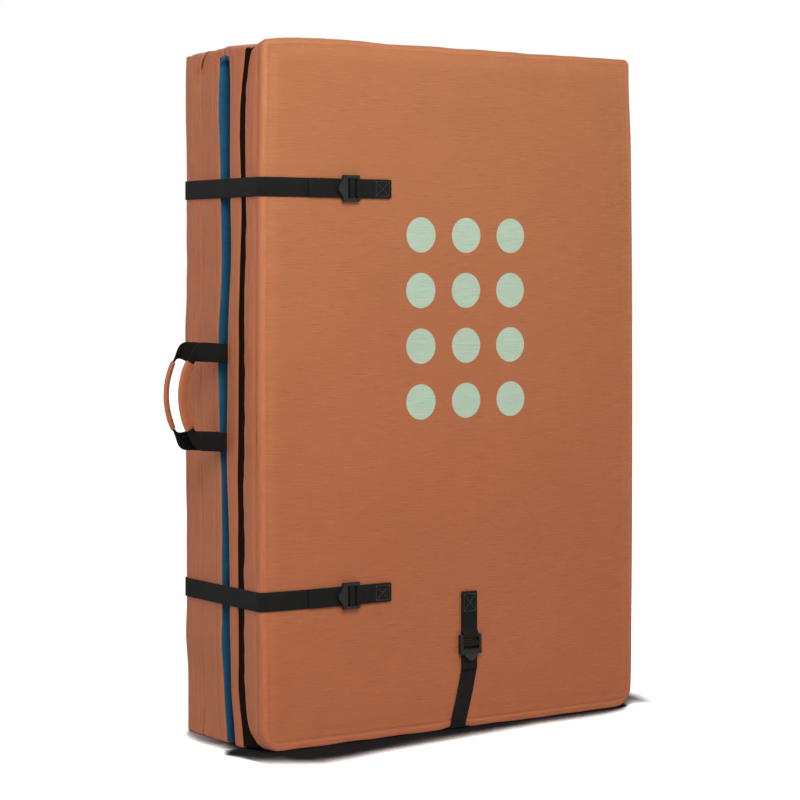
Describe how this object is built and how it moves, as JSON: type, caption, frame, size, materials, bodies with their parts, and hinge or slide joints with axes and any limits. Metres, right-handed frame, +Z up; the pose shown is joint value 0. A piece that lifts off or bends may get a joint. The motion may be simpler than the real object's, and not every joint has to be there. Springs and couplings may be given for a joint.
{
  "type": "bouldering crash pad",
  "caption": "Hinge-fold bouldering crash pad, folded and strapped shut, standing on its short end, with carry handles and a backpack harness.",
  "frame": {"origin": "middle of the folded pad's bounding box, handles and harness included, on the plane that it stands on", "axes": "+Z up along the pad's height, +X across the folded pad from its open side with the handles to its spine, +Y from the face with the buckles to the face with the harness"},
  "size_m": [0.7004, 0.2525, 0.914],
  "materials": {
    "cover_cloth": "terracotta coated woven polyester with fine cross slubs, slight sheen",
    "landing_cloth": "deep blue woven polyester, matte",
    "grip_cloth": "terracotta woven sleeve, stitched along its edge",
    "hook_band": "black hook-and-loop tape",
    "webbing": "black woven polypropylene webbing, satin ribs",
    "harness_cloth": "black padded mesh and cloth, matte",
    "buckle_plastic": "black moulded acetal, fine grain",
    "closed_foam": "grey closed-cell foam sheet",
    "open_foam": "cream open-cell foam"
  },
  "bodies": {
    "back_half": {"back_ground_panel": "cover_cloth", "back_sidewall": "cover_cloth", "back_hook_band": "hook_band", "back_landing_panel": "landing_cloth", "back_top_foam": "closed_foam", "back_core_foam": "open_foam", "back_base_foam": "closed_foam", "spine_strip": "cover_cloth", "upper_strap_back": "webbing", "lower_strap_back": "webbing", "bottom_strap_under": "webbing", "harness_patch": "harness_cloth", "left_shoulder_strap": "harness_cloth", "left_shoulder_tab": "webbing", "left_shoulder_webbing": "webbing", "left_waist_anchor": "webbing", "right_shoulder_strap": "harness_cloth", "right_shoulder_tab": "webbing", "right_shoulder_webbing": "webbing", "right_waist_anchor": "webbing"},
    "front_half": {"front_ground_panel": "cover_cloth", "front_sidewall": "cover_cloth", "front_hook_band": "hook_band", "front_landing_panel": "landing_cloth", "front_top_foam": "closed_foam", "front_core_foam": "open_foam", "front_base_foam": "closed_foam", "upper_buckle_tab": "webbing", "lower_buckle_tab": "webbing", "bottom_buckle_tab": "webbing"},
    "upper_side_run": {"upper_strap_side": "webbing"},
    "upper_front_run": {"upper_strap_front": "webbing"},
    "lower_side_run": {"lower_strap_side": "webbing"},
    "lower_front_run": {"lower_strap_front": "webbing"},
    "bottom_front_run": {"bottom_strap_front": "webbing"},
    "upper_lock": {"upper_buckle": "buckle_plastic"},
    "lower_lock": {"lower_buckle": "buckle_plastic"},
    "bottom_lock": {"bottom_buckle": "buckle_plastic"},
    "back_handle": {"back_handle_webbing": "webbing", "back_handle_grip": "grip_cloth"},
    "front_handle": {"front_handle_webbing": "webbing", "front_handle_grip": "grip_cloth"},
    "left_adjuster_lock": {"left_adjuster": "buckle_plastic"},
    "right_adjuster_lock": {"right_adjuster": "buckle_plastic"},
    "left_waist_wing": {"left_waist_webbing": "webbing", "left_waist_buckle": "buckle_plastic"},
    "right_waist_wing": {"right_waist_webbing": "webbing", "right_waist_buckle": "buckle_plastic"}
  },
  "joints": [
    {"name": "fold", "type": "hinge", "parent": "back_half", "child": "front_half", "pos_m": [0.3512, -0.01465, 0.457], "axis": [0, 0, 1], "range_deg": [0, 180], "deforming": ["spine_strip", "bottom_strap_under"]},
    {"name": "upper_strap_swing", "type": "hinge", "parent": "back_half", "child": "upper_side_run", "pos_m": [-0.2574, 0.07735, 0.72361], "axis": [0, 0, -1], "range_deg": [0, 90], "deforming": ["upper_strap_side"]},
    {"name": "upper_strap_unwrap", "type": "hinge", "parent": "upper_side_run", "child": "upper_front_run", "pos_m": [-0.2574, -0.10665, 0.72361], "axis": [0, 0, -1], "range_deg": [0, 90], "deforming": ["upper_strap_front"]},
    {"name": "lower_strap_swing", "type": "hinge", "parent": "back_half", "child": "lower_side_run", "pos_m": [-0.25724, 0.07735, 0.19349], "axis": [0, 0, -1], "range_deg": [0, 90], "deforming": ["lower_strap_side"]},
    {"name": "lower_strap_unwrap", "type": "hinge", "parent": "lower_side_run", "child": "lower_front_run", "pos_m": [-0.25724, -0.10665, 0.19349], "axis": [0, 0, -1], "range_deg": [0, 90], "deforming": ["lower_strap_front"]},
    {"name": "bottom_strap_drop", "type": "hinge", "parent": "back_half", "child": "bottom_front_run", "pos_m": [0.0442, -0.10665, 0.009], "axis": [1, 0, 0], "range_deg": [0, 85], "deforming": ["bottom_strap_front"]},
    {"name": "upper_buckle_tilt", "type": "hinge", "parent": "front_half", "child": "upper_lock", "pos_m": [-0.1218, -0.12215, 0.72361], "axis": [0, 0, 1], "range_deg": [0, 60]},
    {"name": "lower_buckle_tilt", "type": "hinge", "parent": "front_half", "child": "lower_lock", "pos_m": [-0.1218, -0.12215, 0.19349], "axis": [0, 0, 1], "range_deg": [0, 60]},
    {"name": "bottom_buckle_tilt", "type": "hinge", "parent": "front_half", "child": "bottom_lock", "pos_m": [0.0582, -0.12215, 0.125], "axis": [-1, 0, 0], "range_deg": [0, 60]},
    {"name": "back_handle_flop", "type": "hinge", "parent": "back_half", "child": "back_handle", "pos_m": [-0.2623, -0.00415, 0.45097], "axis": [0, 0, -1], "range_deg": [0, 75], "deforming": ["back_handle_webbing"]},
    {"name": "front_handle_flop", "type": "hinge", "parent": "front_half", "child": "front_handle", "pos_m": [-0.2623, -0.02515, 0.45097], "axis": [0, 0, 1], "range_deg": [0, 75], "deforming": ["front_handle_webbing"]},
    {"name": "left_adjuster_tilt", "type": "hinge", "parent": "back_half", "child": "left_adjuster_lock", "pos_m": [-0.0558, 0.10285, 0.35901], "axis": [1, 0, 0], "range_deg": [0, 60], "deforming": ["left_shoulder_webbing"]},
    {"name": "right_adjuster_tilt", "type": "hinge", "parent": "back_half", "child": "right_adjuster_lock", "pos_m": [0.1402, 0.10285, 0.35901], "axis": [1, 0, 0], "range_deg": [0, 60], "deforming": ["right_shoulder_webbing"]},
    {"name": "left_waist_swing", "type": "hinge", "parent": "back_half", "child": "left_waist_wing", "pos_m": [-0.1098, 0.09055, 0.28499], "axis": [0, 0, -1], "range_deg": [0, 110]},
    {"name": "right_waist_swing", "type": "hinge", "parent": "back_half", "child": "right_waist_wing", "pos_m": [0.1942, 0.09055, 0.28499], "axis": [0, 0, 1], "range_deg": [0, 110]}
  ],
  "couplings": [
    {"joint": "upper_strap_swing", "follows": "fold", "ratio": 0.5},
    {"joint": "upper_strap_unwrap", "follows": "fold", "ratio": 0.5},
    {"joint": "lower_strap_swing", "follows": "fold", "ratio": 0.5},
    {"joint": "lower_strap_unwrap", "follows": "fold", "ratio": 0.5},
    {"joint": "bottom_strap_drop", "follows": "fold", "ratio": 0.4722}
  ]
}
